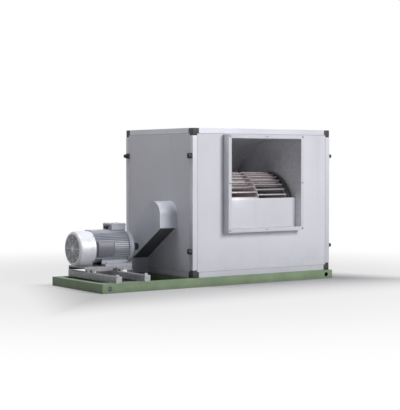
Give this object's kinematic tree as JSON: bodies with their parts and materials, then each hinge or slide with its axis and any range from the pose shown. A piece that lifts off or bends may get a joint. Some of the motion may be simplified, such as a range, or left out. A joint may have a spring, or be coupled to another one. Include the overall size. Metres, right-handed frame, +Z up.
{
  "type": "industrial fan",
  "caption": "Belt driven double inlet centrifugal fan in a framed cabinet, with a foot mounted motor on slide rails, a belt guard and a common base.",
  "frame": {"origin": "centre of the four base anchor holes, on the floor plane", "axes": "+X along the outlet face to the right, away from the motor; +Y from the outlet to the back; +Z up"},
  "size_m": [1.6224, 0.81, 0.89],
  "materials": {
    "base_paint": "satin green paint",
    "black_nylon": "moulded black nylon",
    "panel_paint": "satin white coil paint",
    "frame_profile": "white coated profile",
    "collar_paint": "satin white paint",
    "guard_paint": "satin grey white paint",
    "galvanised_sheet": "galvanised sheet",
    "zinc_fasteners": "zinc plated",
    "mount_rubber": "moulded rubber",
    "belt_rubber": "wrapped belt",
    "cast_iron": "painted casting",
    "motor_casting": "silver painted die casting",
    "cowl_paint": "silver white paint",
    "grey_plastic": "moulded plastic",
    "lamination_steel": "stacked laminations",
    "ground_steel": "ground bar",
    "blade_steel": "galvanised blades",
    "wheel_paint": "black painted steel"
  },
  "bodies": {
    "cabinet": {"base_front_beam": "base_paint", "base_back_beam": "base_paint", "base_left_beam": "base_paint", "base_right_beam": "base_paint", "base_cross_beams": "base_paint", "motor_rails": "galvanised_sheet", "tension_screws": "zinc_fasteners", "rail_bolts": "zinc_fasteners", "frame_posts": "frame_profile", "frame_rails": "frame_profile", "corner_pieces": "black_nylon", "front_panel": "panel_paint", "back_panel": "panel_paint", "left_panel": "panel_paint", "right_panel": "panel_paint", "top_panel": "panel_paint", "bottom_panel": "panel_paint", "clip_screws": "zinc_fasteners", "outlet_collar": "collar_paint", "inlet_collar": "collar_paint", "scroll_wrap": "galvanised_sheet", "scroll_side_left": "galvanised_sheet", "scroll_side_right": "galvanised_sheet", "cutoff_plate": "collar_paint", "inlet_cones": "galvanised_sheet", "blower_feet": "galvanised_sheet", "rubber_mounts": "mount_rubber", "bearing_brackets": "galvanised_sheet", "fan_bearings": "cast_iron", "belt_guard": "guard_paint", "guard_screws": "zinc_fasteners", "drive_belts": "belt_rubber"},
    "fan_rotor": {"fan_shaft": "ground_steel", "wheel_disc": "wheel_paint", "wheel_blades": "blade_steel", "wheel_rings": "wheel_paint", "fan_pulley": "cast_iron"},
    "motor_carriage": {"motor_plate": "galvanised_sheet", "motor_frame": "motor_casting", "drive_shield": "motor_casting", "rear_shield": "motor_casting", "fan_cowl": "cowl_paint", "terminal_box": "motor_casting", "terminal_lid": "motor_casting", "cable_gland": "grey_plastic", "motor_bolts": "zinc_fasteners", "stator_core": "lamination_steel", "motor_bearings": "ground_steel"},
    "motor_rotor": {"motor_shaft": "ground_steel", "rotor_core": "lamination_steel", "cooling_fan": "grey_plastic", "motor_pulley": "cast_iron"},
    "clip_left_front_upper_body": {"clip_left_front_upper": "black_nylon"},
    "clip_left_front_lower_body": {"clip_left_front_lower": "black_nylon"},
    "clip_left_back_upper_body": {"clip_left_back_upper": "black_nylon"},
    "clip_left_back_lower_body": {"clip_left_back_lower": "black_nylon"},
    "clip_right_front_upper_body": {"clip_right_front_upper": "black_nylon"},
    "clip_right_front_lower_body": {"clip_right_front_lower": "black_nylon"},
    "clip_right_back_upper_body": {"clip_right_back_upper": "black_nylon"},
    "clip_right_back_lower_body": {"clip_right_back_lower": "black_nylon"}
  },
  "joints": [
    {"name": "fan_spin", "type": "hinge", "parent": "cabinet", "child": "fan_rotor", "pos_m": [0.287, -0.005, 0.412], "axis": [1, 0, 0], "continuous": true},
    {"name": "motor_slide", "type": "slide", "parent": "cabinet", "child": "motor_carriage", "axis": [0, 1, 0], "range_m": [0, 0.02], "deforming": ["drive_belts"]},
    {"name": "motor_spin", "type": "hinge", "parent": "motor_carriage", "child": "motor_rotor", "pos_m": [-0.4, 0.182, 0.2104], "axis": [1, 0, 0], "continuous": true},
    {"name": "clip_left_front_upper_turn", "type": "hinge", "parent": "cabinet", "child": "clip_left_front_upper_body", "pos_m": [-0.2, -0.235, 0.7346], "axis": [1, 0, 0], "range_deg": [-90, 90]},
    {"name": "clip_left_front_lower_turn", "type": "hinge", "parent": "cabinet", "child": "clip_left_front_lower_body", "pos_m": [-0.2, -0.235, 0.197], "axis": [1, 0, 0], "range_deg": [-90, 90]},
    {"name": "clip_left_back_upper_turn", "type": "hinge", "parent": "cabinet", "child": "clip_left_back_upper_body", "pos_m": [-0.2, 0.445, 0.7346], "axis": [-1, 0, 0], "range_deg": [-90, 90]},
    {"name": "clip_left_back_lower_turn", "type": "hinge", "parent": "cabinet", "child": "clip_left_back_lower_body", "pos_m": [-0.2, 0.445, 0.197], "axis": [-1, 0, 0], "range_deg": [-90, 90]},
    {"name": "clip_right_front_upper_turn", "type": "hinge", "parent": "cabinet", "child": "clip_right_front_upper_body", "pos_m": [0.8, -0.235, 0.7346], "axis": [1, 0, 0], "range_deg": [-90, 90]},
    {"name": "clip_right_front_lower_turn", "type": "hinge", "parent": "cabinet", "child": "clip_right_front_lower_body", "pos_m": [0.8, -0.235, 0.197], "axis": [1, 0, 0], "range_deg": [-90, 90]},
    {"name": "clip_right_back_upper_turn", "type": "hinge", "parent": "cabinet", "child": "clip_right_back_upper_body", "pos_m": [0.8, 0.445, 0.7346], "axis": [-1, 0, 0], "range_deg": [-90, 90]},
    {"name": "clip_right_back_lower_turn", "type": "hinge", "parent": "cabinet", "child": "clip_right_back_lower_body", "pos_m": [0.8, 0.445, 0.197], "axis": [-1, 0, 0], "range_deg": [-90, 90]}
  ],
  "couplings": [
    {"joint": "motor_spin", "follows": "fan_spin", "ratio": 1.4085}
  ]
}
